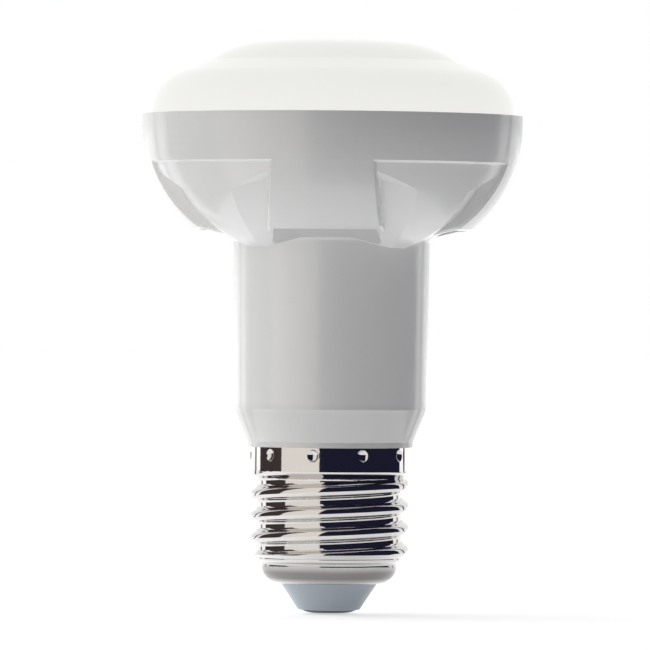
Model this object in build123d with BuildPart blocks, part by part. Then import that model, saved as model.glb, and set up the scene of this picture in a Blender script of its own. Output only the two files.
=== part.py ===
from build123d import *
from math import cos, radians, sin, sqrt, tan
import os

# LED reflector lamp of the R63 form with an E27 screw cap.
# Millimetres, +Z along the axis towards the diffuser, origin at the centre contact's lower face.

# Centre contact and insulator
contact_diameter = 8.8
contact_flat_diameter = 5.2
contact_height = 0.5
contact_edge_height = 0.4
contact_shank_diameter = 2.4
contact_head_diameter = 4.4
contact_head_height = 0.8
insulator_tip_diameter = 10.2
insulator_tip_round = 0.5
insulator_root_diameter = 16.0
insulator_height = 4.4
insulator_seat_height = 4.2

# Screw shell
thread_crest_diameter = 26.3
thread_root_diameter = 24.1
thread_pitch = 3.629
thread_start_angle = 201.0
thread_foot_gap = 0.15
thread_root_sink = 0.05
thread_runout_slope = 0.7
shell_wall = 0.3
shell_height = 22.6
skirt_height = 4.1
skirt_diameter = 26.4
cup_diameter = 22.4
cup_lip_land = 0.2
cup_land = 0.4
shell_edge_round = 0.4
crimp_count = 10
crimp_drop = 1.3
crimp_ball_diameter = 2.6
crimp_depth = 0.5
crimp_first_angle = 9.0

# Housing: collar, taper, neck, bowl and rim
collar_diameter = 27.5
collar_draft = 2.0
collar_height = 0.9
collar_edge_round = 0.6
taper_height = 5.4
taper_round = 1.0
neck_diameter = 31.9
neck_draft = 0.7
neck_corner_round = 8.0
neck_to_rim = 48.6
flare_round = 1.0
rim_diameter = 63.0
rim_land = 1.4
rim_edge_round = 0.3
rim_lip = 1.15
bowl_round = 22.45
housing_wall = 1.6

# Bowl relief: four pads, and between each two a recess with a tongue and two flanks
pad_count = 4
pad_width = 16.7
pad_draft = 5.5
pad_depth = 18.7
pad_underside_angle = 16.0
pad_corner_round = 0.9
pad_edge_bevel = 0.35
pad_side_wall = 1.0
pad_front_wall = 1.1
band_height = 8.2
recess_step = 0.6
pocket_depth = 2.2
tongue_width = 11.4
tongue_taper = 21.0
apex_drop = 4.5
recess_share = 0.8
gusset_rise_angle = 22.0
gusset_tilt = 12.0

# Diffuser
dome_height = 12.8
diffuser_wall = 1.6
diffuser_insert = 5.0
crown_radius = 100.0
crown_diameter = 26.0
lens_diameter = 41.4
lens_drop = 3.9
lens_groove_round = 1.2
shoulder_angle = 20.0
shoulder_round = 7.6
snap_height = 0.25
snap_width = 1.2
snap_drop = 2.4

# Spigot of the housing inside the screw shell
spigot_length = 11.0
spigot_wall = 1.6

# Light engine
spreader_thickness = 1.5
spreader_skirt_height = 3.0
spreader_skirt_wall = 1.2
led_board_margin = 1.0
led_board_thickness = 1.0
wire_hole_diameter = 7.0
led_count = 12
led_circle_diameter = 29.0
led_length = 3.5
led_width = 2.8
led_height = 0.7
led_lens_diameter = 2.3
led_lens_height = 0.15
screw_count = 3
screw_first_angle = 45.0
screw_diameter = 2.5
screw_length = 7.5
screw_head_diameter = 4.4
screw_head_height = 1.4
screw_head_round = 0.7
screw_recess_sides = 6
screw_recess_diameter = 1.6
screw_recess_depth = 0.8
boss_diameter = 4.8

# Driver board and the parts on it
board_thickness = 1.6
board_lift = 2.2
board_side_gap = 1.2
guide_depth = 1.2
guide_wall = 1.5
guide_stop = 2.0
driver_foot = 1.8
driver_gap = 0.5
transformer_width = 13.0
transformer_height = 12.0
core_leg = 3.6
core_yoke = 2.0
core_thickness = 6.0
winding_width = 9.8
winding_round = 1.0
input_capacitor_diameter = 8.0
output_capacitor_diameter = 7.0
capacitor_crimp_depth = 0.4
capacitor_crimp_rise = 1.4
capacitor_edge_round = 0.6
film_length = 8.0
film_thickness = 4.6
film_edge_round = 0.6
choke_diameter = 7.0
choke_winding_diameter = 5.7
choke_flange = 1.0
rectifier_length = 4.7
rectifier_width = 3.9
rectifier_height = 1.6
chip_length = 4.9
chip_width = 3.9
chip_height = 1.5
chip_pin_reach = 0.9
chip_pin_width = 0.45
chip_pin_height = 0.25
chip_pin_count = 4
fuse_diameter = 3.2
fuse_length = 8.0
fuse_edge_round = 0.5
lead_diameter = 0.7
lead_reach = 1.4

# Wires
wire_diameter = 1.2
wire_bend = 2.0
live_bend = 6.0
wire_overlap = 5.0
neutral_drop = 2.6
led_wire_spacing = 3.2
led_wire_rise = 2.8
led_wire_reach = 6.0

# Clearances
snap_clearance = 0.1
spigot_clearance = 0.05
seat_clearance = 0.1
screw_clearance = 0.1
slot_clearance = 0.15
part_clearance = 0.05
driver_clearance = 0.4

# Heights, stacked from the contact up
insulator_z = contact_height
shell_z = insulator_z + insulator_height
insulator_top_z = shell_z + insulator_seat_height
contact_top_z = insulator_top_z + contact_head_height
collar_z = shell_z + shell_height
taper_z = collar_z + collar_height
neck_z = taper_z + taper_height
rim_z = neck_z + neck_to_rim
top_z = rim_z + dome_height
seat_z = rim_z - diffuser_insert
spreader_z = seat_z - spreader_thickness
led_board_top_z = seat_z + led_board_thickness
band_z = rim_z - band_height
pad_z = rim_z - pad_depth
board_z = neck_z + board_lift
board_top_z = spreader_z - slot_clearance

# Radii that several pieces share
rim_r = rim_diameter / 2
crest_r = thread_crest_diameter / 2
root_r = thread_root_diameter / 2
skirt_r = skirt_diameter / 2
dome_bore_r = rim_r - rim_lip
dome_r = dome_bore_r - snap_clearance
spreader_bore_r = dome_r - diffuser_wall
spreader_r = spreader_bore_r - seat_clearance
lip_r = insulator_root_diameter / 2 + part_clearance
cup_round = cup_diameter / 2 - lip_r - cup_lip_land

# Heights of the screw shell: cup, plain ends of the thread and skirt
skirt_z = collar_z - skirt_height
cup_top_z = shell_z + cup_round + cup_land
root_low_z = cup_top_z + (root_r - cup_diameter / 2) * thread_runout_slope
root_top_z = skirt_z - (skirt_r - root_r)

# The pads, the recess steps, the pockets and the inner wall are struck about one centre
bowl_centre_r = rim_r - bowl_round
bowl_centre_z = rim_z - rim_land
step_round = bowl_round - recess_step
pocket_round = bowl_round - pocket_depth
inner_round = pocket_round - housing_wall


def bowl_radius(arc_radius, height):
    """Radius of one of the bowl's surfaces at a height."""
    return bowl_centre_r + sqrt(arc_radius**2 - (bowl_centre_z - height) ** 2)


def bowl_point(arc_radius, height):
    """Section point of one of the bowl's surfaces at a height."""
    return (bowl_radius(arc_radius, height), height)


def bowl_height(arc_radius, radius):
    """Height at which one of the bowl's surfaces reaches a radius."""
    return bowl_centre_z - sqrt(arc_radius**2 - (radius - bowl_centre_r) ** 2)


def neck_radius(height):
    """Outer radius of the drafted neck at a height."""
    return neck_diameter / 2 + (height - neck_z) * tan(radians(neck_draft))


# The neck meets the floor of the pockets, and its bore the inner wall of the bowl
flare_z = bowl_height(pocket_round, neck_diameter / 2)
neck_top_r = neck_radius(flare_z)
flare_z = bowl_height(pocket_round, neck_top_r)
bore_r = neck_diameter / 2 - housing_wall
bore_top_z = bowl_height(inner_round, bore_r)
collar_r = collar_diameter / 2
collar_top_r = collar_r + collar_height * tan(radians(collar_draft))
collar_bore_r = collar_r - housing_wall
spigot_z = collar_z - spigot_length
spigot_top_r = skirt_r - shell_wall - spigot_clearance
spigot_low_r = root_r - shell_wall - spigot_clearance - part_clearance
spigot_bore_r = spigot_low_r - spigot_wall
spigot_step_z = skirt_z + shell_wall
spreader_skirt_r = bowl_radius(inner_round, spreader_z - spreader_skirt_height) - seat_clearance
spreader_skirt_bore_r = spreader_skirt_r - spreader_skirt_wall
screw_circle_r = spreader_skirt_bore_r - seat_clearance - boss_diameter / 2
screw_tip_z = led_board_top_z - screw_length
led_board_r = spreader_r - led_board_margin

# Lie of the driver board in the neck
board_half = board_thickness / 2
board_half_width = bore_r - board_side_gap
guide_r = board_half_width - guide_depth
wire_y = board_half + wire_diameter / 2 + part_clearance


def driver_room(half_width):
    """Depth between the board and the neck's bore for a part of a given half width."""
    return sqrt(bore_r**2 - half_width**2) - board_half - driver_clearance


# Rows of parts up the driver board: fuse, rectifier, chip and transformer in front
fuse_rise = driver_foot + fuse_diameter / 2
package_reach = chip_pin_reach + driver_gap / 2
rectifier_rise = fuse_rise + fuse_diameter / 2 + rectifier_width / 2 + package_reach
chip_rise = rectifier_rise + rectifier_width / 2 + chip_width / 2 + 2 * package_reach
transformer_rise = chip_rise + chip_width / 2 + package_reach + transformer_height / 2

# Capacitors behind, then the film capacitor and the choke side by side
input_rise = driver_foot + input_capacitor_diameter / 2
output_rise = input_rise + input_capacitor_diameter / 2 + driver_gap + output_capacitor_diameter / 2
side_half = max(choke_diameter, film_thickness) / 2
side_rise = output_rise + output_capacitor_diameter / 2 + driver_gap + side_half
film_x = (film_length + driver_gap) / 2
choke_x = -(choke_diameter + driver_gap) / 2

# Wires run beside the fuse's leads
lead_x = fuse_length / 2 + lead_reach
side_wire_x = lead_x + (lead_diameter + wire_diameter) / 2 + driver_gap


def front_plane(x, rise):
    """Workplane on the front face of the driver board, facing away from it."""
    return Plane(origin=(x, -board_half, board_z + rise), x_dir=(1, 0, 0), z_dir=(0, -1, 0))


def back_plane(x, rise):
    """Workplane on the back face of the driver board, facing away from it."""
    return Plane(origin=(x, board_half, board_z + rise), x_dir=(-1, 0, 0), z_dir=(0, 1, 0))


def thread_ridge(inset, low, high):
    """Rolled ridge of the thread, or with an inset the groove behind it, between two shoulders.

    Equal arcs form crest and root, and the root's arcs sink a little into the shell. Below and
    above, the ridge runs out on cones that cross the root radius at the two heights.
    """
    depth = crest_r - root_r + thread_root_sink
    half_pitch = thread_pitch / 2
    arc = (depth**2 + half_pitch**2) / (4 * depth)
    lean = (2 * arc - depth) / (2 * arc)
    flank_r = crest_r - arc + (arc - inset) * lean
    flank_z = (arc - inset) * half_pitch / (2 * arc)
    foot_z = half_pitch - thread_foot_gap
    foot_r = root_r - thread_root_sink + arc - sqrt((arc + inset) ** 2 - thread_foot_gap**2)
    base_r = root_r - inset - shell_wall / 2
    turn = thread_start_angle / 360
    first_z = root_low_z - (2 + turn) * thread_pitch
    path_height = root_top_z - first_z + 2 * thread_pitch
    reach = crest_r + shell_wall
    inside = base_r - shell_wall
    with BuildPart() as shoulders:
        with BuildSketch(Plane.XZ):
            with BuildLine():
                Polyline(
                    (inside, low - (root_r - inside) * thread_runout_slope),
                    (reach, low + (reach - root_r) * thread_runout_slope),
                    (reach, high + reach - root_r),
                    (inside, high - root_r + inside),
                    close=True,
                )
            make_face()
        revolve(axis=Axis.Z)
    with BuildPart() as ridge:
        with BuildLine() as path:
            Helix(pitch=thread_pitch, height=path_height, radius=crest_r, center=(0, 0, first_z))
        with BuildSketch(Plane(origin=(0, 0, first_z), x_dir=(1, 0, 0), z_dir=(0, -1, 0))):
            with BuildLine():
                crest = ThreePointArc((flank_r, -flank_z), (crest_r - inset, 0), (flank_r, flank_z))
                upper = TangentArc(crest @ 1, (foot_r, foot_z), tangent=crest % 1)
                lower = TangentArc(crest @ 0, (foot_r, -foot_z), tangent=(crest % 0) * -1)
                Polyline(upper @ 1, (base_r, foot_z), (base_r, -foot_z), lower @ 1)
            make_face()
        sweep(path=path.line, is_frenet=True)
        add(shoulders.part, mode=Mode.INTERSECT)
    return ridge.part


def bent_wire(points, bends, diameter):
    """Round wire along straight runs joined by tangent arcs."""
    with BuildPart() as run:
        with BuildLine() as route:
            FilletPolyline(*points, radius=bends)
        with BuildSketch(Plane(origin=route.line @ 0, z_dir=route.line % 0)):
            Circle(diameter / 2)
        sweep(path=route.line)
    return run.part


def can_capacitor(plane, diameter, height):
    """Upright electrolytic can with the crimp groove near its foot."""
    radius = diameter / 2
    with BuildPart() as can:
        with BuildSketch(plane):
            Circle(radius)
        extrude(amount=height)
        fillet(can.edges().group_by(Axis.Y)[-1], capacitor_edge_round)
        with BuildSketch(plane.offset(capacitor_crimp_rise)):
            Circle(radius)
            Circle(radius - capacitor_crimp_depth, mode=Mode.SUBTRACT)
        extrude(amount=2 * capacitor_crimp_depth, mode=Mode.SUBTRACT)
    return can.part


def flat_package(plane, length, width, height):
    """Moulded package with a row of feet along each long side."""
    with BuildPart() as package:
        with BuildSketch(plane):
            Rectangle(length, width)
        extrude(amount=height)
        pin_pitch = length / chip_pin_count
        with BuildSketch(plane):
            with GridLocations(pin_pitch, 0, chip_pin_count, 1):
                Rectangle(chip_pin_width, width + 2 * chip_pin_reach)
        extrude(amount=chip_pin_height)
    return package.part


def save(part, name):
    """Label a finished piece and write it."""
    part.label = name
    export_step(part, f"parts/{name}.step")


os.makedirs("parts", exist_ok=True)

# Diffuser: raised lens on a rolled shoulder, with a skirt that snaps into the rim
crown_r = crown_diameter / 2
lens_r = lens_diameter / 2
lens_z = top_z - lens_drop
crown_z = top_z - crown_radius + sqrt(crown_radius**2 - crown_r**2)
crown_mid_z = top_z - crown_radius + sqrt(crown_radius**2 - (crown_r / 2) ** 2)
shoulder_z = lens_z - (dome_r - lens_r) * tan(radians(shoulder_angle))
snap_z = rim_z - snap_drop
with BuildPart() as diffuser:
    with BuildSketch(Plane.XZ) as section:
        with BuildLine():
            crown = ThreePointArc((0, top_z), (crown_r / 2, crown_mid_z), (crown_r, crown_z))
            TangentArc(crown @ 1, (lens_r, lens_z), tangent=crown % 1)
            FilletPolyline((lens_r, lens_z), (dome_r, shoulder_z), (dome_r, seat_z), radius=shoulder_round)
            offset(amount=diffuser_wall, side=Side.RIGHT)
        make_face()
        fillet(section.vertices().sort_by_distance((lens_r, lens_z, 0))[0], lens_groove_round)
    revolve(axis=Axis.Z)
    with BuildSketch(Plane.XZ):
        with BuildLine():
            Polyline(
                (dome_r - snap_height, snap_z - snap_width / 2),
                (dome_r + snap_height, snap_z),
                (dome_r - snap_height, snap_z + snap_width / 2),
                close=True,
            )
        make_face()
    revolve(axis=Axis.Z)
save(diffuser.part, "diffuser")

# Room inside the housing, less the bosses and guide ribs that stand in it
with BuildPart() as hollow:
    with BuildSketch(Plane.XZ):
        with BuildLine():
            inner_wall = ThreePointArc(
                bowl_point(inner_round, spreader_z),
                bowl_point(inner_round, (spreader_z + bore_top_z) / 2),
                (bore_r, bore_top_z),
            )
            Polyline(
                inner_wall @ 1,
                (bore_r, neck_z),
                (collar_bore_r, taper_z),
                (spigot_bore_r, collar_z),
                (spigot_bore_r, spigot_z),
                (0, spigot_z),
                (0, rim_z),
                (dome_bore_r, rim_z),
                (dome_bore_r, snap_z + snap_width),
                (dome_bore_r + snap_height, snap_z),
                (dome_bore_r, snap_z - snap_width),
                (dome_bore_r, seat_z),
                (spreader_bore_r, seat_z),
                (spreader_bore_r, spreader_z),
                inner_wall @ 0,
            )
        make_face()
    revolve(axis=Axis.Z)
    with BuildSketch(Plane.XY.offset(bore_top_z)):
        with PolarLocations(screw_circle_r, screw_count, start_angle=screw_first_angle):
            Circle(boss_diameter / 2)
    extrude(amount=spreader_z - bore_top_z, mode=Mode.SUBTRACT)
    with BuildSketch(Plane.XY.offset(screw_tip_z - screw_clearance)):
        with PolarLocations(screw_circle_r, screw_count, start_angle=screw_first_angle):
            Circle(screw_diameter / 2 + part_clearance)
    extrude(amount=spreader_z - screw_tip_z + screw_clearance)
    rib_half = board_half + slot_clearance + guide_wall
    with BuildSketch(Plane.XY.offset(board_z - guide_stop)):
        with PolarLocations(guide_r, 2):
            Rectangle(bore_r, 2 * rib_half, align=(Align.MIN, Align.CENTER))
    extrude(amount=bore_top_z - board_z + guide_stop, mode=Mode.SUBTRACT)
    with BuildSketch(Plane.XY.offset(board_z)):
        Rectangle(2 * (board_half_width + slot_clearance), 2 * (board_half + slot_clearance))
    extrude(amount=bore_top_z - board_z)

# Recess between two pads: a tongue, and a flank on each side of it turned about a shifted axis
recess_start = 180 / pad_count
step_low_z = bowl_height(step_round, bore_r)
with BuildPart() as step_bowl:
    with BuildSketch(Plane.XZ):
        with BuildLine():
            wall = ThreePointArc(
                (bore_r, step_low_z),
                bowl_point(step_round, (step_low_z + bowl_centre_z) / 2),
                bowl_point(step_round, bowl_centre_z),
            )
            Polyline(wall @ 1, (0, bowl_centre_z), (0, step_low_z), wall @ 0)
        make_face()
    revolve(axis=Axis.Z)

apex_z = band_z - apex_drop
apex_half = tongue_width / 2
apex_flat = sqrt(bowl_radius(step_round, apex_z) ** 2 - apex_half**2)
taper = radians(tongue_taper)
axis_shift = 2 * (apex_flat * sin(taper) - apex_half * cos(taper))
gusset_rise = tan(radians(gusset_rise_angle))
gusset_plane = Plane(
    origin=(apex_flat, 0, apex_z),
    x_dir=(0, 1, 0),
    z_dir=(cos(radians(gusset_tilt)), 0, sin(radians(gusset_tilt))),
)
with BuildPart() as recess:
    with Locations((axis_shift * sin(taper), -axis_shift * cos(taper), 0)):
        add(step_bowl.part)
    with Locations((axis_shift * sin(taper), axis_shift * cos(taper), 0)):
        add(step_bowl.part, mode=Mode.INTERSECT)
    with BuildSketch(gusset_plane):
        Polygon(
            (0, -apex_half * gusset_rise),
            (rim_r, (rim_r - apex_half) * gusset_rise),
            (rim_r, rim_r),
            (-rim_r, rim_r),
            (-rim_r, (rim_r - apex_half) * gusset_rise),
            align=None,
        )
    extrude(amount=apex_flat / 2, both=True)
    add(step_bowl.part, mode=Mode.INTERSECT)
    with BuildSketch():
        spread = tan(radians(recess_share * recess_start))
        Polygon((0, 0), (rim_r, -rim_r * spread), (rim_r, rim_r * spread), align=None)
    extrude(amount=rim_z, mode=Mode.INTERSECT)

# Pad: its edges are bevelled, and its foot is hollow behind a thin wall
pad_foot_r = bowl_radius(bowl_round, pad_z)
pad_bore_r = (neck_diameter - housing_wall) / 2
pad_top_z = band_z + 2 * pad_edge_bevel
pad_spread = tan(radians(pad_draft))
pad_half = pad_width / 2
root_half = pad_half + rim_r * pad_spread
with BuildPart() as pad:
    with BuildSketch(Plane.XZ) as section:
        with BuildLine():
            face = ThreePointArc(
                bowl_point(bowl_round, pad_top_z),
                bowl_point(bowl_round, (pad_top_z + pad_z) / 2),
                (pad_foot_r, pad_z),
            )
            slope_drop = (pad_foot_r - pad_bore_r) * tan(radians(pad_underside_angle))
            Polyline(face @ 1, (pad_bore_r, pad_z - slope_drop), (pad_bore_r, pad_top_z), face @ 0)
        make_face()
        fillet(section.vertices().sort_by_distance((pad_foot_r, pad_z))[0], pad_corner_round)
    revolve(axis=Axis.Z)
    with BuildSketch():
        Polygon((0, -root_half), (-rim_r, -pad_half), (-rim_r, pad_half), (0, root_half), align=None)
    extrude(amount=rim_z, mode=Mode.INTERSECT)
    side_walls = pad.faces().filter_by(GeomType.PLANE).sort_by(Axis.Z)[:-1]
    side_edges = side_walls.edges().filter_by(GeomType.LINE, reverse=True)
    chamfer(side_edges, pad_edge_bevel)
    with BuildSketch():
        Polygon(
            (0, pad_side_wall - root_half),
            (-rim_r, pad_side_wall - pad_half),
            (-rim_r, pad_half - pad_side_wall),
            (0, root_half - pad_side_wall),
            align=None,
        )
        Circle(pad_foot_r - pad_front_wall, mode=Mode.INTERSECT)
    extrude(amount=rim_z, mode=Mode.SUBTRACT)

# Spigot: the foot of the housing inside the screw shell, pressed in where the shell is crimped
crimp_z = collar_z - crimp_drop
crimp_centre_r = skirt_r - crimp_depth + crimp_ball_diameter / 2
neutral_z = collar_z - neutral_drop
with BuildPart() as spigot:
    with BuildSketch(Plane.XZ):
        with BuildLine():
            Polyline(
                (0, spigot_z),
                (spigot_low_r, spigot_z),
                (spigot_low_r, spigot_step_z),
                (spigot_top_r, spigot_step_z + spigot_top_r - spigot_low_r),
                (spigot_top_r, collar_z),
                (0, collar_z),
                close=True,
            )
        make_face()
    revolve(axis=Axis.Z)
    with PolarLocations(crimp_centre_r, crimp_count, start_angle=crimp_first_angle):
        with Locations((0, 0, crimp_z)):
            Sphere(crimp_ball_diameter / 2 + shell_wall + spigot_clearance, mode=Mode.SUBTRACT)
    with BuildSketch(Plane(origin=(0, -wire_y, neutral_z), x_dir=(0, 1, 0), z_dir=(1, 0, 0))):
        Circle(wire_diameter / 2 + screw_clearance)
    extrude(amount=skirt_r, mode=Mode.SUBTRACT)

# Housing: the turned neck, pocket floor and band, with the recesses and pads set round the bowl
recess_turn = radians(recess_start)
recess_plane = Plane(
    origin=(0, 0, 0),
    x_dir=(cos(recess_turn), sin(recess_turn), 0),
    z_dir=(sin(recess_turn), -cos(recess_turn), 0),
)
with BuildPart() as housing:
    with BuildSketch(recess_plane) as turned:
        with BuildLine():
            floor = ThreePointArc(
                (neck_top_r, flare_z),
                bowl_point(pocket_round, (flare_z + band_z) / 2),
                bowl_point(pocket_round, band_z),
            )
            band = ThreePointArc(
                bowl_point(bowl_round, band_z + pad_edge_bevel),
                bowl_point(bowl_round, (band_z + bowl_centre_z) / 2),
                (rim_r, bowl_centre_z),
            )
            Polyline(floor @ 1, (bowl_radius(bowl_round, band_z) - pad_edge_bevel, band_z), band @ 0)
            Polyline(
                band @ 1,
                (rim_r, rim_z),
                (0, rim_z),
                (0, collar_z),
                (collar_r, collar_z),
                (collar_top_r, taper_z),
                (neck_diameter / 2, neck_z),
                floor @ 0,
            )
        make_face()
        corners = turned.vertices()
        fillet(corners.sort_by_distance((neck_top_r, flare_z))[0], flare_round)
        fillet(corners.sort_by_distance((neck_diameter / 2, neck_z))[0], neck_corner_round)
        fillet(corners.sort_by_distance((collar_top_r, taper_z))[0], taper_round)
        fillet(corners.sort_by_distance((collar_r, collar_z))[0], collar_edge_round)
        fillet(corners.sort_by_distance((rim_r, rim_z))[0], rim_edge_round)
    revolve(axis=Axis.Z)
    with PolarLocations(0, pad_count, start_angle=recess_start):
        add(recess.part)
    with PolarLocations(0, pad_count):
        add(pad.part)
    add(spigot.part)
    add(hollow.part, mode=Mode.SUBTRACT)
save(housing.part, "housing")

# Screw shell: rolled sheet with a round thread, crimped into the spigot through dimples in its skirt
ridge = thread_ridge(0, root_low_z + shell_wall, root_top_z + shell_wall / 2)
groove = thread_ridge(shell_wall, root_low_z + 3 * shell_wall, collar_z)
with BuildPart() as screw_shell:
    with BuildSketch(Plane.XZ):
        with BuildLine():
            FilletPolyline(
                (lip_r, shell_z),
                (cup_diameter / 2, shell_z),
                (cup_diameter / 2, cup_top_z),
                (root_r, root_low_z),
                (root_r, root_top_z),
                (skirt_r, skirt_z),
                (skirt_r, collar_z),
                radius=[cup_round, *4 * [shell_edge_round]],
            )
            offset(amount=shell_wall, side=Side.LEFT)
        make_face()
    revolve(axis=Axis.Z)
    add(ridge)
    add(groove, mode=Mode.SUBTRACT)
    with PolarLocations(crimp_centre_r, crimp_count, start_angle=crimp_first_angle):
        with Locations((0, 0, crimp_z)):
            Sphere(crimp_ball_diameter / 2 + shell_wall)
    with BuildSketch(Plane.XY.offset(skirt_z)):
        Circle(2 * skirt_r)
        Circle(skirt_r, mode=Mode.SUBTRACT)
    extrude(amount=skirt_height, mode=Mode.SUBTRACT)
    with BuildSketch(Plane.XY.offset(collar_z)):
        Circle(2 * skirt_r)
    extrude(amount=skirt_height, mode=Mode.SUBTRACT)
    with PolarLocations(crimp_centre_r, crimp_count, start_angle=crimp_first_angle):
        with Locations((0, 0, crimp_z)):
            Sphere(crimp_ball_diameter / 2, mode=Mode.SUBTRACT)
save(screw_shell.part, "screw_shell")

# Cap insulator: cone below the shell, with a flange that the shell's cup is rolled around
insulator_root_r = insulator_root_diameter / 2
flange_round = cup_round - shell_wall - part_clearance
flange_z = shell_z + shell_wall + part_clearance
flange_r = insulator_root_r + flange_round
with BuildPart() as cap_insulator:
    with BuildSketch(Plane.XZ) as section:
        with BuildLine():
            Polyline(
                (contact_shank_diameter / 2 + part_clearance, insulator_top_z),
                (contact_shank_diameter / 2 + part_clearance, insulator_z),
                (insulator_tip_diameter / 2, insulator_z),
                (insulator_root_r, shell_z),
                (insulator_root_r, flange_z),
            )
            flange_edge = RadiusArc(
                (insulator_root_r, flange_z),
                (flange_r, flange_z + flange_round),
                -flange_round,
            )
            Polyline(
                flange_edge @ 1,
                (flange_r, insulator_top_z),
                (contact_shank_diameter / 2 + part_clearance, insulator_top_z),
            )
        make_face()
        corners = section.vertices()
        fillet(corners.sort_by_distance((insulator_tip_diameter / 2, insulator_z))[0], insulator_tip_round)
    revolve(axis=Axis.Z)
save(cap_insulator.part, "cap_insulator")

# Centre contact: headed pin through the insulator, riveted over inside
contact_r = contact_diameter / 2
contact_flat_r = contact_flat_diameter / 2
with BuildPart() as centre_contact:
    with BuildSketch(Plane.XZ):
        with BuildLine():
            button = TangentArc((contact_flat_r, 0), (contact_r, contact_edge_height), tangent=(1, 0))
            Polyline(
                button @ 1,
                (contact_r, insulator_z),
                (contact_shank_diameter / 2, insulator_z),
                (contact_shank_diameter / 2, insulator_top_z),
                (contact_head_diameter / 2, insulator_top_z),
                (contact_head_diameter / 2, contact_top_z),
                (0, contact_top_z),
                (0, 0),
                button @ 0,
            )
        make_face()
    revolve(axis=Axis.Z)
save(centre_contact.part, "centre_contact")

# Heat spreader: plate on the housing's inner ledge, with a turned-down skirt
with BuildPart() as heat_spreader:
    with BuildSketch(Plane.XY.offset(spreader_z)):
        Circle(spreader_r)
    extrude(amount=spreader_thickness)
    with BuildSketch(Plane.XY.offset(spreader_z)):
        Circle(spreader_skirt_r)
        Circle(spreader_skirt_bore_r, mode=Mode.SUBTRACT)
    extrude(amount=-spreader_skirt_height)
    with Locations((0, 0, seat_z)):
        Hole(wire_hole_diameter / 2)
    with Locations((0, 0, seat_z)):
        with PolarLocations(screw_circle_r, screw_count, start_angle=screw_first_angle):
            Hole(screw_diameter / 2 + screw_clearance)
save(heat_spreader.part, "heat_spreader")

# LED board: metal-core disc screwed down on the spreader
with BuildPart() as led_board:
    with BuildSketch(Plane.XY.offset(seat_z)):
        Circle(led_board_r)
        Circle(wire_hole_diameter / 2, mode=Mode.SUBTRACT)
        with PolarLocations(screw_circle_r, screw_count, start_angle=screw_first_angle):
            Circle(screw_diameter / 2 + screw_clearance, mode=Mode.SUBTRACT)
    extrude(amount=led_board_thickness)
save(led_board.part, "led_board")

# LED packages in a ring on the board
for index in range(led_count):
    led_plane = Plane.XY.offset(led_board_top_z).rotated((0, 0, index * 360 / led_count))
    with BuildPart() as led:
        with BuildSketch(led_plane):
            with Locations((led_circle_diameter / 2, 0)):
                Rectangle(led_length, led_width)
        extrude(amount=led_height)
        with BuildSketch(led_plane.offset(led_height)):
            with Locations((led_circle_diameter / 2, 0)):
                Circle(led_lens_diameter / 2)
        extrude(amount=led_lens_height)
    save(led.part, f"led_{index + 1:02d}")

# Board screws: pan heads with a hexagon recess
with BuildPart() as board_screws:
    with BuildSketch(Plane.XY.offset(led_board_top_z)):
        with PolarLocations(screw_circle_r, screw_count, start_angle=screw_first_angle):
            Circle(screw_head_diameter / 2)
    extrude(amount=screw_head_height)
    fillet(board_screws.edges().group_by(Axis.Z)[-1], screw_head_round)
    with BuildSketch(Plane.XY.offset(led_board_top_z)):
        with PolarLocations(screw_circle_r, screw_count, start_angle=screw_first_angle):
            Circle(screw_diameter / 2)
    extrude(amount=-screw_length)
    with BuildSketch(Plane.XY.offset(led_board_top_z + screw_head_height)):
        with PolarLocations(screw_circle_r, screw_count, start_angle=screw_first_angle):
            RegularPolygon(screw_recess_diameter / 2, screw_recess_sides)
    extrude(amount=-screw_recess_depth, mode=Mode.SUBTRACT)
save(board_screws.part, "board_screws")

# Driver board: upright in the neck's guides, from their stops up to the spreader
with BuildPart() as driver_board:
    with BuildSketch(Plane.XY.offset(board_z)):
        Rectangle(2 * board_half_width, board_thickness)
    extrude(amount=board_top_z - board_z)
save(driver_board.part, "driver_board")

# Transformer: taped winding on the board, with the ferrite core through and around it
winding_depth = driver_room(transformer_width / 2)
winding_height = transformer_height - 2 * core_yoke - 2 * part_clearance
winding_plane = front_plane(0, transformer_rise)
core_plane = winding_plane.offset((winding_depth - core_thickness) / 2)
with BuildPart() as transformer_winding:
    with BuildSketch(winding_plane):
        RectangleRounded(winding_width, winding_height, winding_round)
    extrude(amount=winding_depth)
    with BuildSketch(core_plane.offset(-part_clearance)):
        Rectangle(core_leg + 2 * part_clearance, winding_height)
    extrude(amount=core_thickness + 2 * part_clearance, mode=Mode.SUBTRACT)
save(transformer_winding.part, "transformer_winding")

window_width = winding_width + 2 * part_clearance
window_height = winding_height + 2 * part_clearance
with BuildPart() as transformer_core:
    with BuildSketch(core_plane):
        Rectangle(transformer_width, transformer_height)
        Rectangle(window_width, window_height, mode=Mode.SUBTRACT)
        Rectangle(core_leg, transformer_height)
    extrude(amount=core_thickness)
save(transformer_core.part, "transformer_core")

# Electrolytic capacitors on the back of the driver board
input_plane = back_plane(0, input_rise)
input_height = driver_room(input_capacitor_diameter / 2)
input_capacitor = can_capacitor(input_plane, input_capacitor_diameter, input_height)
save(input_capacitor, "input_capacitor")
output_plane = back_plane(0, output_rise)
output_height = driver_room(output_capacitor_diameter / 2)
output_capacitor = can_capacitor(output_plane, output_capacitor_diameter, output_height)
save(output_capacitor, "output_capacitor")

# Film capacitor: boxed, beside the choke
with BuildPart() as film_capacitor:
    with BuildSketch(back_plane(film_x, side_rise)):
        RectangleRounded(film_length, film_thickness, film_edge_round)
    extrude(amount=driver_room(film_x + film_length / 2))
save(film_capacitor.part, "film_capacitor")

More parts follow.
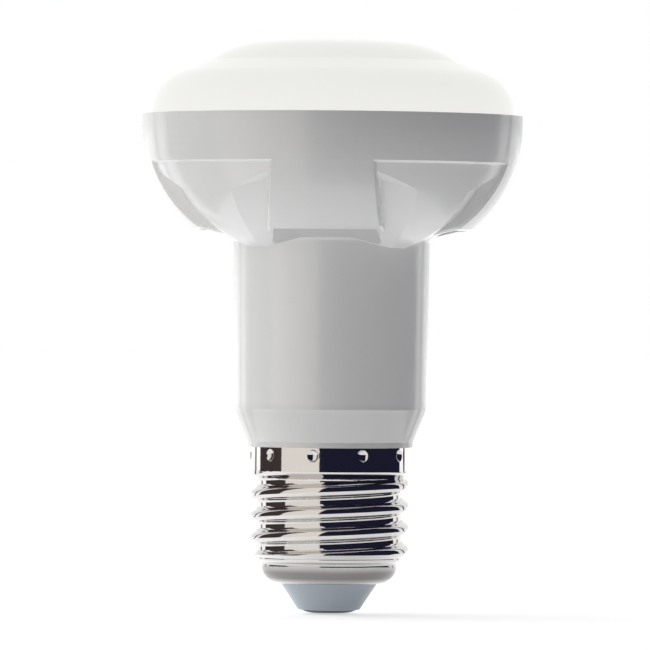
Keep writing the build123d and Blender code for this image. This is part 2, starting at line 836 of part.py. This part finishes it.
# Choke: drum core with its winding sunk between two flanges
choke_plane = back_plane(choke_x, side_rise)
choke_height = driver_room(choke_diameter / 2 - choke_x)
with BuildPart() as choke:
    with BuildSketch(choke_plane):
        Circle(choke_diameter / 2)
    extrude(amount=choke_height)
    with BuildSketch(choke_plane.offset(choke_flange)):
        Circle(choke_diameter / 2)
        Circle(choke_winding_diameter / 2, mode=Mode.SUBTRACT)
    extrude(amount=choke_height - 2 * choke_flange, mode=Mode.SUBTRACT)
save(choke.part, "choke")

# Bridge rectifier and driver chip: flat packages with feet on the board
rectifier_plane = front_plane(0, rectifier_rise)
bridge_rectifier = flat_package(rectifier_plane, rectifier_length, rectifier_width, rectifier_height)
save(bridge_rectifier, "bridge_rectifier")
chip_plane = front_plane(0, chip_rise)
driver_chip = flat_package(chip_plane, chip_length, chip_width, chip_height)
save(driver_chip, "driver_chip")

# Fuse resistor: axial body along the board's foot, with its leads bent into the board
fuse_y = -board_half - fuse_diameter / 2 - part_clearance
fuse_z = board_z + fuse_rise
fuse_leads = []
for side_sign in (-1, 1):
    lead_points = [
        (side_sign * fuse_length / 4, fuse_y, fuse_z),
        (side_sign * lead_x, fuse_y, fuse_z),
        (side_sign * lead_x, -board_half, fuse_z),
    ]
    fuse_leads.append(bent_wire(lead_points, lead_diameter, lead_diameter))
with BuildPart() as fuse_resistor:
    with BuildSketch(Plane(origin=(0, fuse_y, fuse_z), x_dir=(0, 1, 0), z_dir=(1, 0, 0))):
        Circle(fuse_diameter / 2)
    extrude(amount=fuse_length / 2, both=True)
    fillet(fuse_resistor.edges().filter_by(GeomType.CIRCLE), fuse_edge_round)
    add(fuse_leads)
save(fuse_resistor.part, "fuse_resistor")

# Live wire: from the contact's head up to the front of the driver board
live_top_z = board_z + wire_overlap
live_low_z = (contact_top_z + spigot_z) / 2
live_wire = bent_wire(
    [
        (0, 0, contact_top_z),
        (0, 0, live_low_z),
        (-side_wire_x, -wire_y, taper_z),
        (-side_wire_x, -wire_y, live_top_z),
    ],
    live_bend,
    wire_diameter,
)
save(live_wire, "live_wire")

# Neutral wire: from the front of the driver board down, and out through the spigot to the shell
neutral_end_r = sqrt((skirt_r - shell_wall) ** 2 - (wire_y + wire_diameter / 2) ** 2) - part_clearance
neutral_wire = bent_wire(
    [
        (side_wire_x, -wire_y, board_z + wire_overlap),
        (side_wire_x, -wire_y, neutral_z),
        (neutral_end_r, -wire_y, neutral_z),
    ],
    wire_bend,
    wire_diameter,
)
save(neutral_wire, "neutral_wire")

# LED wires: up the back of the driver board, through the plate and over onto the LED board
for side_sign, pole in ((-1, "negative"), (1, "positive")):
    wire_x = side_sign * led_wire_spacing / 2
    over_z = led_board_top_z + led_wire_rise
    led_wire = bent_wire(
        [
            (wire_x, wire_y, board_top_z - wire_overlap),
            (wire_x, wire_y, over_z),
            (wire_x + side_sign * led_wire_reach, wire_y, over_z),
            (wire_x + side_sign * led_wire_reach, wire_y, led_board_top_z),
        ],
        wire_bend,
        wire_diameter,
    )
    save(led_wire, f"led_wire_{pole}")
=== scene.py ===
# %% [markdown]
# # A reflector lamp, lesson by lesson
# The object is an LED reflector lamp: an opal dome on a white bowl, a plain neck and a plated screw cap.
# The solids come from the CAD model and are loaded as a fixed frame. Blender's work is the finish of every
# surface, the studio round the lamp and the camera.

# %% Load the solids
import math

import bmesh
import bpy
from mathutils import Matrix, Vector


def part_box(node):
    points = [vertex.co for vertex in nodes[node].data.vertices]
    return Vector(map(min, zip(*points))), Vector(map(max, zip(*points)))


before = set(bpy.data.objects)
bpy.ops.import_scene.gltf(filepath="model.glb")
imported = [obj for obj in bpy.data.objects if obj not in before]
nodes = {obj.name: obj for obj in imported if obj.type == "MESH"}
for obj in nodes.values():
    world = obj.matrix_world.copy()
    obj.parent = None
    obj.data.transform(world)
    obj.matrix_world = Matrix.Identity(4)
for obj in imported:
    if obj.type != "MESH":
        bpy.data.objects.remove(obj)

MM = 0.001
scene = bpy.context.scene
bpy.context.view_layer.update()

# %% [markdown]
# The photograph was taken with a long lens, nearly level with the middle of the lamp. A long focal length
# from over a metre keeps the two sides of the neck parallel, as they are in the picture. The camera is
# placed on a circle round the lamp's axis, aimed at the axis, and rolled by half a degree because the
# lamp leans a little to the right.

# %% Camera
PICTURE_PIXELS = 650
FOCAL_PIXELS = 7058
SENSOR_WIDTH = 36.0
CAMERA_DISTANCE = 1.17
CAMERA_AZIMUTH = math.radians(3.1)
CAMERA_HEIGHT = 51.0 * MM
CAMERA_ROLL = math.radians(0.47)
AIM_HEIGHT = 47.67 * MM
AIM_LEFT = 1.0 * MM
NEAREST_SEEN = 0.01
FARTHEST_SEEN = 50.0

camera_data = bpy.data.cameras.new("camera")
camera_data.sensor_width = SENSOR_WIDTH
camera_data.lens = FOCAL_PIXELS * SENSOR_WIDTH / PICTURE_PIXELS
camera_data.clip_start = NEAREST_SEEN
camera_data.clip_end = FARTHEST_SEEN
camera = bpy.data.objects.new("camera", camera_data)
scene.collection.objects.link(camera)
scene.camera = camera

to_camera = Vector((math.sin(CAMERA_AZIMUTH), -math.cos(CAMERA_AZIMUTH), 0))
to_right = Vector((math.cos(CAMERA_AZIMUTH), math.sin(CAMERA_AZIMUTH), 0))
camera_place = to_camera * CAMERA_DISTANCE + Vector((0, 0, CAMERA_HEIGHT))
aim = Vector((0, 0, AIM_HEIGHT)) - to_right * AIM_LEFT
facing = (aim - camera_place).to_track_quat("-Z", "Y").to_matrix().to_4x4()
camera.matrix_world = Matrix.Translation(camera_place) @ facing @ Matrix.Rotation(CAMERA_ROLL, 4, "Z")
print("lens", round(camera_data.lens, 1), "mm at", [round(v, 3) for v in camera_place])


# %% [markdown]
# Every finish is a small graph of nodes. A graph can be drawn in the editor, but written out it can be read
# from top to bottom. These helpers keep it short: one adds a node and sets or links its inputs, one links
# outputs to a node that is already there, and the others wrap the kinds of node that come back most.

# %% Node helpers
def add_node(tree, kind, links=None, **settings):
    """Node of a kind, each input linked to an output or set to a plain value."""
    node = tree.nodes.new("ShaderNode" + kind)
    for setting, value in settings.items():
        setattr(node, setting, value)
    for socket, source in (links or {}).items():
        if isinstance(source, bpy.types.NodeSocket):
            tree.links.new(source, node.inputs[socket])
        else:
            node.inputs[socket].default_value = source
    return node


def feed(tree, node, **outputs):
    """Link outputs to the inputs of a node, named with underscores for spaces."""
    for socket, output in outputs.items():
        tree.links.new(output, node.inputs[socket.replace("_", " ")])


def ramp(tree, value, start=0.0, end=1.0, low=0.0, high=1.0):
    """Output that runs from low to high while a value runs from start to end."""
    ends = {"From Min": start, "From Max": end, "To Min": low, "To Max": high}
    return add_node(tree, "MapRange", {"Value": value, **ends}).outputs["Result"]


def maths(tree, operation, *values):
    """Output of one step of arithmetic."""
    return add_node(tree, "Math", dict(enumerate(values)), operation=operation).outputs["Value"]


def blend(tree, factor, first, second):
    """Output of a mix of two colours, each a colour or another node's output."""
    sides = {"Factor": factor, "A": first, "B": second}
    return add_node(tree, "Mix", sides, data_type="RGBA").outputs["Result"]


def object_axes(tree):
    """Outputs X, Y and Z of the place on the object."""
    place = add_node(tree, "TexCoord").outputs["Object"]
    return add_node(tree, "SeparateXYZ", {"Vector": place}).outputs


def looked_at(tree):
    """Output of 1 for the camera, mirrors and glass, and of 0 for light that falls on other surfaces."""
    path = add_node(tree, "LightPath").outputs
    mirrored = maths(tree, "MAXIMUM", path["Is Glossy Ray"], path["Is Transmission Ray"])
    return maths(tree, "MAXIMUM", path["Is Camera Ray"], mirrored)


print("node helpers ready")

# %% [markdown]
# The studio is white behind the lamp and on its left, and a dark room lies in front and on the right. Such a
# room could be modelled with walls, but a white world with a few large cards in it gives the same light with
# far less to render. Light Path shows the camera, and anything mirrored, a plain white of strength 1.

# %% World
ROOM_LIGHT = 1.1
SEEN_WHITE = 1.0

scene.view_settings.view_transform = "Standard"
world = bpy.data.worlds.new("studio_white")
scene.world = world
world.use_nodes = True
tree = world.node_tree
tree.nodes.clear()
strength = ramp(tree, looked_at(tree), low=ROOM_LIGHT, high=SEEN_WHITE)
white = add_node(tree, "Background", {"Color": (1, 1, 1, 1), "Strength": strength})
add_node(tree, "OutputWorld", {"Surface": white.outputs["Background"]})
print("world light", ROOM_LIGHT)


# %% [markdown]
# Each material starts from one Principled shader. A value that is the same all over a surface is set on the
# shader itself, and only what varies is fed from nodes. A solid from the CAD model keeps its mesh and gets
# one material.

# %% Material helpers
def new_material(name, **sockets):
    """Material, its node tree and its Principled shader with the even values set."""
    material = bpy.data.materials.new(name)
    material.use_nodes = True
    shader = material.node_tree.nodes["Principled BSDF"]
    for socket, value in sockets.items():
        shader.inputs[socket.replace("_", " ")].default_value = value
    return material, material.node_tree, shader


def dress(material, *names):
    """Give solids of the frame this one material."""
    for name in names:
        slots = nodes[name].data.materials
        slots.clear()
        slots.append(material)
    print(material.name, "on", len(names), "solids")


print("material helpers ready for", len(nodes), "solids")

# %% [markdown]
# Photographers shape the light on a white object with flags and softboxes. A dark flag from just left of the
# camera round to the right keeps the front calm, and a warm softbox stands left of the camera. The plated cap
# mirrors more of the room than that: the floor beyond the white sheet, a brown wall at the left and two posts
# behind. So the cards that light the lamp and the cards that it mirrors are made apart. Each is an edge spun
# about the lamp's axis, upright for the light, and with a foot along the floor for the mirrors. The cards stay
# out of the camera's sight. Sectors are azimuths from the camera in degrees, negative to the left.

# %% Studio cards
CARD_RADIUS = 0.9
CARD_RISE = math.radians(84)
CARD_TOP = CARD_RADIUS * math.tan(CARD_RISE)
CARD_STEPS = 48
SHEET_RADIUS = 80.0 * MM
SHEET_GAP = 0.1 * MM
FRONT = (-15, 121)
FRONT_LEFT = (-74, -15)
LEFT = (-121, -74)
BACK_LEFT = (-138, -133)
BACK_RIGHT = (133, 138)


def studio_card(name, sector, colour, light, mirrored):
    """Glowing strip over a sector round the lamp, either for the light or for mirrors."""
    start, end = (math.radians(side) for side in sector)
    azimuth = start + CAMERA_AZIMUTH - math.pi / 2
    out = Vector((math.cos(azimuth), math.sin(azimuth), 0))
    line = [out * CARD_RADIUS + Vector((0, 0, height)) for height in (SHEET_GAP, CARD_TOP)]
    if mirrored:
        line.insert(0, out * SHEET_RADIUS + Vector((0, 0, SHEET_GAP)))
    shape = bmesh.new()
    corners = [shape.verts.new(point) for point in line]
    for pair in zip(corners, corners[1:]):
        shape.edges.new(pair)
    bmesh.ops.spin(
        shape,
        geom=shape.verts[:] + shape.edges[:],
        axis=(0, 0, 1),
        cent=(0, 0, 0),
        angle=end - start,
        steps=CARD_STEPS,
    )
    mesh = bpy.data.meshes.new(name)
    shape.to_mesh(mesh)
    shape.free()
    face = new_material(
        name + "_face",
        Base_Color=(0, 0, 0, 1),
        Roughness=1.0,
        Specular_IOR_Level=0.0,
        Emission_Color=(*colour, 1),
        Emission_Strength=light,
    )
    mesh.materials.append(face[0])
    card = bpy.data.objects.new(name, mesh)
    scene.collection.objects.link(card)
    card.visible_camera = False
    card.visible_shadow = False
    card.visible_diffuse = not mirrored
    card.visible_glossy = mirrored


studio_card("front_flag", FRONT, (0.45, 0.5, 1.0), 0.03, mirrored=False)
studio_card("softbox", FRONT_LEFT, (1.0, 0.96, 0.92), 0.48, mirrored=False)
studio_card("left_light", LEFT, (1.0, 1.0, 1.0), 1.8, mirrored=False)
studio_card("front_room", FRONT, (0.42, 0.42, 1.0), 0.035, mirrored=True)
studio_card("softbox_face", FRONT_LEFT, (1.0, 0.95, 0.89), 1.0, mirrored=True)
studio_card("left_wall", LEFT, (1.0, 0.75, 0.75), 0.06, mirrored=True)
studio_card("left_post", BACK_LEFT, (1.0, 0.97, 0.95), 0.08, mirrored=True)
studio_card("right_post", BACK_RIGHT, (1.0, 0.97, 0.95), 0.08, mirrored=True)
print("eight studio cards at", CARD_RADIUS, "m")

# %% [markdown]
# The lamp stands on its contact, on a white sheet of paper. The sheet throws light up under the bowl, which is
# why faces that look down are lighter than the front of the neck. To the camera and to mirrors it is lifted to
# white, and what the lamp takes from the light still shows on it as a soft shadow.

# %% Floor
FLOOR_HALF = 6.0
FLOOR_GAP = 0.2 * MM
FLOOR_GREY = 0.85
FLOOR_GLOW = 0.24
FLOOR_LIFT = 0.32

floor_mesh = bpy.data.meshes.new("floor")
shape = bmesh.new()
bmesh.ops.create_grid(shape, x_segments=1, y_segments=1, size=FLOOR_HALF)
bmesh.ops.translate(shape, verts=shape.verts, vec=(0, 0, -FLOOR_GAP))
shape.to_mesh(floor_mesh)
shape.free()
floor = bpy.data.objects.new("floor", floor_mesh)
scene.collection.objects.link(floor)
material, tree, shader = new_material(
    "pale_floor",
    Base_Color=(FLOOR_GREY, FLOOR_GREY, FLOOR_GREY, 1),
    Roughness=1.0,
    Specular_IOR_Level=0.0,
    Emission_Color=(1, 1, 1, 1),
)
lift = ramp(tree, looked_at(tree), low=FLOOR_GLOW, high=FLOOR_GLOW + FLOOR_LIFT)
feed(tree, shader, Emission_Strength=lift)
floor_mesh.materials.append(material)
print("floor at z", -FLOOR_GAP)


# %% [markdown]
# Two effects come back in many finishes. Moulded plastic has a fine spark-eroded grain and a slight cloudiness.
# Drawn or rolled metal has fine lines round its axis and small changes of polish. Each is a node group with its
# own scales, so that every material can use it with its own values.

# %% Grain and polish groups
GRAIN_SCALE = 4000.0
CLOUD_SCALE = 60.0
LINE_SCALE = 3000.0
STAIN_SCALE = 150.0
LINE_STRETCH = (0.05, 0.05, 1.0)


def new_group(name, inputs, outputs):
    """Shader node group with float inputs and outputs, and its two end nodes."""
    group = bpy.data.node_groups.new(name, "ShaderNodeTree")
    for socket, value in inputs.items():
        made = group.interface.new_socket(socket, in_out="INPUT", socket_type="NodeSocketFloat")
        made.default_value = value
    for socket in outputs:
        group.interface.new_socket(socket, in_out="OUTPUT", socket_type="NodeSocketFloat")
    return group, group.nodes.new("NodeGroupInput"), group.nodes.new("NodeGroupOutput")


def noise(tree, vector, scale, **settings):
    """Output of a noise texture, its further inputs given by name."""
    return add_node(tree, "TexNoise", {"Vector": vector, "Scale": scale, **settings}).outputs["Fac"]


grain, given, result = new_group(
    "moulded_grain", {"Grain Scale": GRAIN_SCALE, "Cloud Scale": CLOUD_SCALE}, ["Height", "Cloud"]
)
place = add_node(grain, "TexCoord").outputs["Object"]
fine = noise(grain, place, given.outputs["Grain Scale"], Detail=2.0, Roughness=0.6)
cloud = noise(grain, place, given.outputs["Cloud Scale"], Detail=3.0)
feed(grain, result, Height=fine, Cloud=cloud)

polish, given, result = new_group(
    "rolled_polish", {"Line Scale": LINE_SCALE, "Stain Scale": STAIN_SCALE}, ["Height", "Stain"]
)
place = add_node(polish, "TexCoord").outputs["Object"]
stretch = add_node(polish, "Mapping", {"Vector": place, "Scale": LINE_STRETCH})
lines = noise(polish, stretch.outputs["Vector"], given.outputs["Line Scale"], Detail=2.0)
stain = noise(polish, place, given.outputs["Stain Scale"], Detail=4.0, Roughness=0.65)
feed(polish, result, Height=lines, Stain=stain)
print("groups", grain.name, "and", polish.name)


# %% [markdown]
# One function makes a plastic or lacquer from two colours that the cloudiness mixes and a range of roughness.
# Another makes a metal in the same way from its stains. The pieces inside the lamp use them with their own
# colours, and the outer pieces get finishes of their own further on.

# %% Plastic and metal finishes
PLASTIC_RELIEF = 0.01 * MM
METAL_RELIEF = 0.002 * MM


def group_node(tree, group, **values):
    """Place a node group in a material with its own input values."""
    node = tree.nodes.new("ShaderNodeGroup")
    node.node_tree = group
    for socket, value in values.items():
        node.inputs[socket.replace("_", " ")].default_value = value
    return node


def finish_from(parts, effect, mask, colours, roughness, relief):
    """Feed a shader's colour, roughness and normal from one effect."""
    material, tree, shader = parts
    first, second = ((*colour, 1) for colour in colours)
    smooth, rough = roughness
    bump = add_node(tree, "Bump", {"Height": effect.outputs["Height"], "Distance": relief})
    feed(
        tree,
        shader,
        Base_Color=blend(tree, effect.outputs[mask], first, second),
        Roughness=ramp(tree, effect.outputs[mask], low=smooth, high=rough),
        Normal=bump.outputs["Normal"],
    )
    return material


def plastic(name, colours, roughness, cloud_scale=CLOUD_SCALE):
    """Moulded plastic, lacquer or laminate."""
    parts = new_material(name)
    effect = group_node(parts[1], grain, Grain_Scale=GRAIN_SCALE, Cloud_Scale=cloud_scale)
    return finish_from(parts, effect, "Cloud", colours, roughness, PLASTIC_RELIEF)


def metal(name, colours, roughness):
    """Rolled, drawn or plated metal."""
    parts = new_material(name, Metallic=1.0)
    effect = group_node(parts[1], polish, Line_Scale=LINE_SCALE, Stain_Scale=STAIN_SCALE)
    return finish_from(parts, effect, "Stain", colours, roughness, METAL_RELIEF)


print("finishes ready")

# %% [markdown]
# The housing is satin white plastic. The raised faces of the bowl, its band and pads, and the taper at the
# neck's foot carry a fine eroded grain. The neck and the recesses between the pads are smoother and a little
# lighter. Band and recesses lie on two depths of the same bowl, so the distance from the centre of the bowl's
# curve tells them apart. A mask could be painted, but a measured distance is exact from every side. A thin coat
# gives the moulding its bright edges.

# %% Housing
CURVE_CENTRE = (9.05 * MM, 81.0 * MM, 0)
RAISED_FROM = 22.1 * MM
RAISED_TO = 22.5 * MM
BOWL_FROM = 60.0 * MM
BOWL_TO = 62.0 * MM
NECK_FOOT = 35.0 * MM
TAPER_TOP = 33.0 * MM
ERODED_RELIEF = 0.012 * MM

material, tree, shader = new_material("white_moulding", Coat_Weight=0.8, Coat_Roughness=0.15)
axes = object_axes(tree)
level = add_node(tree, "CombineXYZ", {"X": axes["X"], "Y": axes["Y"]}).outputs["Vector"]
radius = add_node(tree, "VectorMath", {0: level}, operation="LENGTH").outputs["Value"]
section = add_node(tree, "CombineXYZ", {"X": radius, "Y": axes["Z"]}).outputs["Vector"]
depth = add_node(tree, "VectorMath", {0: section, 1: CURVE_CENTRE}, operation="DISTANCE").outputs["Value"]
outside = ramp(tree, depth, RAISED_FROM, RAISED_TO)
above = ramp(tree, axes["Z"], BOWL_FROM, BOWL_TO)
below = ramp(tree, axes["Z"], NECK_FOOT, TAPER_TOP)
raised = maths(tree, "MULTIPLY", outside, maths(tree, "MAXIMUM", above, below))
effect = group_node(tree, grain, Grain_Scale=3500.0, Cloud_Scale=70.0)
grained = blend(tree, effect.outputs["Cloud"], (0.79, 0.795, 0.79, 1), (0.81, 0.815, 0.81, 1))
faces = blend(tree, raised, (0.90, 0.905, 0.90, 1), grained)
eroded = maths(tree, "MULTIPLY", effect.outputs["Height"], raised)
bump = add_node(tree, "Bump", {"Height": eroded, "Distance": ERODED_RELIEF}).outputs["Normal"]
feed(tree, shader, Base_Color=faces, Roughness=ramp(tree, raised, low=0.3, high=0.42), Normal=bump)
dress(material, "housing")

# %% [markdown]
# Under each pad the mould left a hollow foot behind a thin wall. Its inside is painted a darker grey: painted
# shade for the shadow deep in the hollow. The four pads lie along the two level axes, so the smaller of the two
# level distances is the place across a pad and the larger one the place along it. With the pad's draft these give
# the outline of the hollow, and the depth in the bowl keeps the front wall out of it.

# %% Painted shade in the hollow feet
FOOT_HALF = 7.35 * MM
FOOT_SPREAD = math.tan(math.radians(5.5))
FOOT_WALL_FROM = 21.45 * MM
FOOT_WALL_TO = 21.3 * MM
FOOT_INNER = 16.45 * MM
RIM_RADIUS = 31.5 * MM
MASK_EDGE = 0.1 * MM

from_x = maths(tree, "ABSOLUTE", axes["X"])
from_y = maths(tree, "ABSOLUTE", axes["Y"])
across = maths(tree, "MINIMUM", from_x, from_y)
along = maths(tree, "MAXIMUM", from_x, from_y)
inward = maths(tree, "SUBTRACT", RIM_RADIUS, along)
half = maths(tree, "MULTIPLY_ADD", inward, FOOT_SPREAD, FOOT_HALF)
within = ramp(tree, maths(tree, "SUBTRACT", half, across), 0.0, MASK_EDGE)
behind = ramp(tree, depth, FOOT_WALL_FROM, FOOT_WALL_TO)
off_neck = ramp(tree, radius, FOOT_INNER, FOOT_INNER + MASK_EDGE)
# painted shade: this mask darkens the inside of each hollow foot
painted_hollow_shade = maths(tree, "MULTIPLY", maths(tree, "MULTIPLY", within, behind), off_neck)
feed(tree, shader, Base_Color=blend(tree, painted_hollow_shade, faces, (0.60, 0.605, 0.60, 1)))
print("hollow feet, half width", round(FOOT_HALF / MM, 2), "mm at the rim")

# %% [markdown]
# The dome is opal plastic. Little of the light that falls on it comes straight back from its surface. Most passes
# through, mixes in the white space behind it and comes out again evenly, so that the dome has hardly any shadow
# side. True scattering through the shell would be slow and noisy, so that light is painted: a low reflecting
# colour and a painted glow make the dome shine like a lit lamp, though no lamp is inside. The painted glow is a
# little weaker at the top than at the foot.

# %% Diffuser
DOME_FOOT, DOME_TOP = (corner[2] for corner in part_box("diffuser"))
OPAL_COLOURS = ((0.07, 0.07, 0.068), (0.085, 0.085, 0.083))
OPAL_RELIEF = 0.002 * MM
PAINTED_GLOW_AT_FOOT = (1.0, 0.99, 0.96, 1)
PAINTED_GLOW_AT_TOP = (0.88, 0.88, 0.85, 1)

# painted glow: the emission lights the dome, though it is no lamp
parts = new_material("opal_moulding", Specular_IOR_Level=0.02, Emission_Strength=0.86)
material, tree, shader = parts
effect = group_node(tree, grain, Grain_Scale=GRAIN_SCALE, Cloud_Scale=CLOUD_SCALE)
finish_from(parts, effect, "Cloud", OPAL_COLOURS, (0.3, 0.36), OPAL_RELIEF)
height = ramp(tree, object_axes(tree)["Z"], DOME_FOOT, DOME_TOP)
feed(tree, shader, Emission_Color=blend(tree, height, PAINTED_GLOW_AT_FOOT, PAINTED_GLOW_AT_TOP))
dress(material, "diffuser")

# %% [markdown]
# The cap is thin steel or brass sheet with nickel plating. Its thread and skirt are rolled and bright. The cup
# at its end, which was pressed and fused to the insulator, is rougher. Its colour is painted a darker grey, a
# painted reflection of the shaded floor beside the lamp, and its turned-in lip is painted bright again, a painted
# reflection of the lit floor. The height above the contact blends the one into the other. The insulator is a
# blue-grey moulding, and the contact a dull rivet.

# %% Cap
LIP_PAINTED_LIGHT_BELOW = 4.9 * MM
CUP_PAINTED_SHADE_ABOVE = 5.9 * MM
CUP_SHADE_AND_DULL_BELOW = 6.8 * MM
PLATE_POLISH_AND_LIGHT_ABOVE = 8.6 * MM
NICKEL = (0.65, 0.638, 0.625, 1)
PALE_NICKEL = (0.71, 0.697, 0.684, 1)
NICKEL_PAINTED_SHADE = (0.25, 0.24, 0.235, 1)
PLATE_RELIEF = 0.0003 * MM

material, tree, shader = new_material("nickel_plate", Metallic=1.0)
effect = group_node(tree, polish, Line_Scale=2500.0, Stain_Scale=140.0)
height = object_axes(tree)["Z"]
plate = blend(tree, effect.outputs["Stain"], NICKEL, PALE_NICKEL)
# painted shade on the cup and a painted highlight on its lip, both painted reflections of the floor
painted_lip_light_and_cup_shade = blend(tree, ramp(tree, height, LIP_PAINTED_LIGHT_BELOW, CUP_PAINTED_SHADE_ABOVE), NICKEL, NICKEL_PAINTED_SHADE)
# the roughness change is real; the colour change from cup to plate ends the painted shade
plate_polish_and_painted_light = ramp(tree, height, CUP_SHADE_AND_DULL_BELOW, PLATE_POLISH_AND_LIGHT_ABOVE)
bump = add_node(tree, "Bump", {"Height": effect.outputs["Height"], "Distance": PLATE_RELIEF})
feed(
    tree,
    shader,
    Base_Color=blend(tree, plate_polish_and_painted_light, painted_lip_light_and_cup_shade, plate),
    Roughness=ramp(tree, plate_polish_and_painted_light, low=0.2, high=0.06),
    Normal=bump.outputs["Normal"],
)
dress(material, "screw_shell")
dress(plastic("blue_grey_moulding", ((0.46, 0.52, 0.58), (0.51, 0.57, 0.63)), (0.25, 0.35)), "cap_insulator")
dress(metal("dull_contact", ((0.10, 0.10, 0.102), (0.15, 0.15, 0.153)), (0.4, 0.55)), "centre_contact")

# %% [markdown]
# The inside of the lamp is hidden, yet a reader who takes the dome off should find it finished. The light
# engine comes first: an aluminium spreader, a board with a white mask that wastes no light, the emitters under
# their yellow phosphor, and zinc-plated screws.

# %% Light engine
LED_COUNT = 12
leds = [f"led_{number:02d}" for number in range(1, LED_COUNT + 1)]

dress(metal("spreader_sheet", ((0.68, 0.69, 0.70), (0.76, 0.77, 0.78)), (0.3, 0.45)), "heat_spreader")
dress(plastic("board_mask", ((0.86, 0.86, 0.84), (0.90, 0.90, 0.88)), (0.3, 0.4)), "led_board")
dress(plastic("phosphor", ((0.90, 0.78, 0.30), (0.95, 0.86, 0.42)), (0.4, 0.5), cloud_scale=900.0), *leds)
dress(metal("zinc_screw", ((0.55, 0.55, 0.56), (0.66, 0.66, 0.67)), (0.25, 0.4)), "board_screws")

# %% [markdown]
# The driver stands upright in the neck. Its parts are told apart by the usual colours of their cases: green
# laminate, black ferrite under yellow tape, dark sleeves on the electrolytic cans, a red film box, bare copper
# on the choke, black epoxy on the chips and a green coat on the fuse resistor.

# %% Driver
dress(plastic("driver_laminate", ((0.05, 0.16, 0.07), (0.08, 0.22, 0.10)), (0.3, 0.45)), "driver_board")
dress(plastic("ferrite", ((0.03, 0.03, 0.032), (0.06, 0.06, 0.06)), (0.6, 0.75)), "transformer_core")
dress(plastic("winding_tape", ((0.78, 0.55, 0.06), (0.85, 0.62, 0.09)), (0.25, 0.35)), "transformer_winding")
sleeve = plastic("capacitor_sleeve", ((0.015, 0.018, 0.03), (0.03, 0.035, 0.05)), (0.25, 0.4))
dress(sleeve, "input_capacitor", "output_capacitor")
dress(plastic("film_box", ((0.34, 0.05, 0.025), (0.40, 0.07, 0.03)), (0.3, 0.4)), "film_capacitor")
dress(metal("copper_winding", ((0.48, 0.20, 0.08), (0.60, 0.27, 0.11)), (0.3, 0.4)), "choke")
epoxy = plastic("chip_epoxy", ((0.012, 0.012, 0.014), (0.02, 0.02, 0.022)), (0.5, 0.6))
dress(epoxy, "bridge_rectifier", "driver_chip")
dress(plastic("fuse_coat", ((0.10, 0.26, 0.16), (0.14, 0.32, 0.20)), (0.5, 0.6)), "fuse_resistor")

# %% [markdown]
# Lamp makers tell the wires apart by colour: brown for live, blue for neutral, and red and black for the two
# that feed the emitters. All four have the same soft, slightly shiny insulation, so only the colours differ.

# %% Wires
INSULATION_ROUGHNESS = (0.35, 0.45)
WIRES = {
    "live_wire": ("live_insulation", (0.12, 0.04, 0.015), (0.15, 0.05, 0.02)),
    "neutral_wire": ("neutral_insulation", (0.02, 0.07, 0.26), (0.03, 0.09, 0.31)),
    "led_wire_negative": ("negative_insulation", (0.012, 0.012, 0.012), (0.02, 0.02, 0.02)),
    "led_wire_positive": ("positive_insulation", (0.38, 0.01, 0.008), (0.44, 0.015, 0.01)),
}

for wire, (insulation, *colours) in WIRES.items():
    dress(plastic(insulation, colours, INSULATION_ROUGHNESS), wire)
